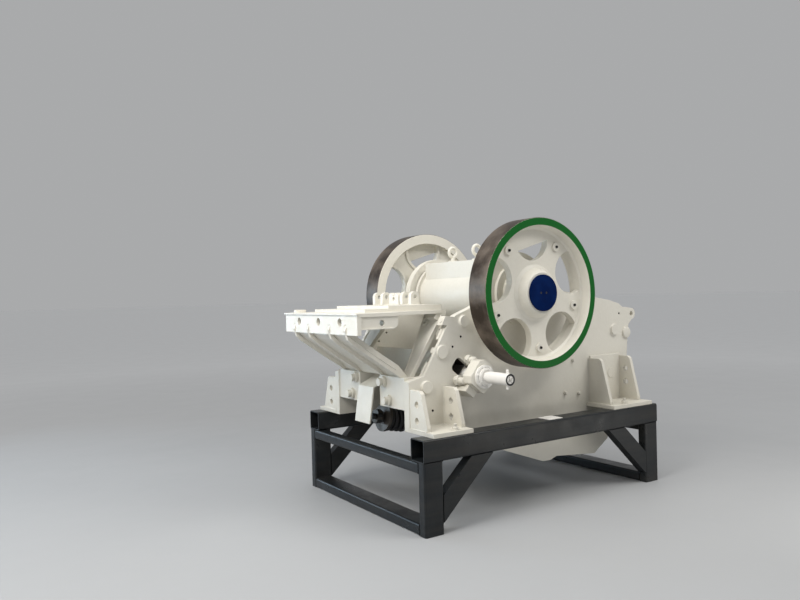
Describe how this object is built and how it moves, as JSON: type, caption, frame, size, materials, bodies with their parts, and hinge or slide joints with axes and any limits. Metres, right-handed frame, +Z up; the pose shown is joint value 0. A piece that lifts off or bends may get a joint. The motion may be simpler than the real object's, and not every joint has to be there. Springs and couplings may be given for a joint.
{
  "type": "jaw crusher on a steel stand",
  "caption": "Single-toggle jaw crusher with two holed flywheels on an eccentric shaft, a rear motor table and wedge adjusters, on a tube stand.",
  "frame": {"origin": "on the floor, under the centre of the whole crusher's box, on its centre plane", "axes": "+X towards the feed mouth (front), -X towards the motor table (rear), +Y towards the left side, +Z up"},
  "size_m": [2.77, 1.95, 2.096],
  "materials": {
    "frame_paint": "satin cream paint",
    "stand": "semi-gloss charcoal paint",
    "white_paint": "satin white paint",
    "jaw_steel": "cast manganese steel",
    "bright_steel": "machined",
    "dark_steel": "machined, oiled",
    "black_spring": "black paint",
    "wheel": "cream paint with a machined dark rim and a green ring",
    "cap_paint": "blue paint"
  },
  "bodies": {
    "root": {"stand_rail_right": "stand", "stand_rail_left": "stand", "stand_posts": "stand", "stand_cross_tubes": "stand", "stand_braces": "stand", "rail_shim": "white_paint", "side_plate_right": "frame_paint", "side_plate_left": "frame_paint", "front_wall": "frame_paint", "rear_beam": "frame_paint", "foot_rear_right": "frame_paint", "foot_rear_left": "frame_paint", "foot_front_right": "frame_paint", "foot_front_left": "frame_paint", "bearing_housing_right": "frame_paint", "bearing_housing_left": "frame_paint", "side_bosses": "frame_paint", "rear_bosses": "frame_paint", "fixed_jaw": "jaw_steel", "moving_jaw": "jaw_steel", "cheek_plate_right": "jaw_steel", "cheek_plate_left": "jaw_steel", "pitman": "frame_paint", "lifting_eyes": "frame_paint", "toggle_plate": "dark_steel", "toggle_seat": "frame_paint", "wedge_right": "bright_steel", "wedge_left": "bright_steel", "adjuster_bracket_right": "frame_paint", "adjuster_bracket_left": "frame_paint", "adjusting_cylinder_right": "white_paint", "adjusting_cylinder_left": "white_paint", "tension_rod": "dark_steel", "tension_spring": "black_spring", "rod_guard": "frame_paint", "motor_table": "frame_paint", "table_ribs": "frame_paint", "table_apron": "frame_paint", "table_leg_right": "frame_paint", "table_leg_left": "frame_paint", "table_lugs": "frame_paint"},
    "rotor": {"eccentric_shaft": "dark_steel", "flywheel_right": "wheel", "flywheel_left": "wheel", "hub_caps": "cap_paint"}
  },
  "joints": [
    {"name": "flywheel_spin", "type": "hinge", "parent": "root", "child": "rotor", "pos_m": [0.039, 0, 1.549], "axis": [0, 1, 0], "continuous": true}
  ]
}
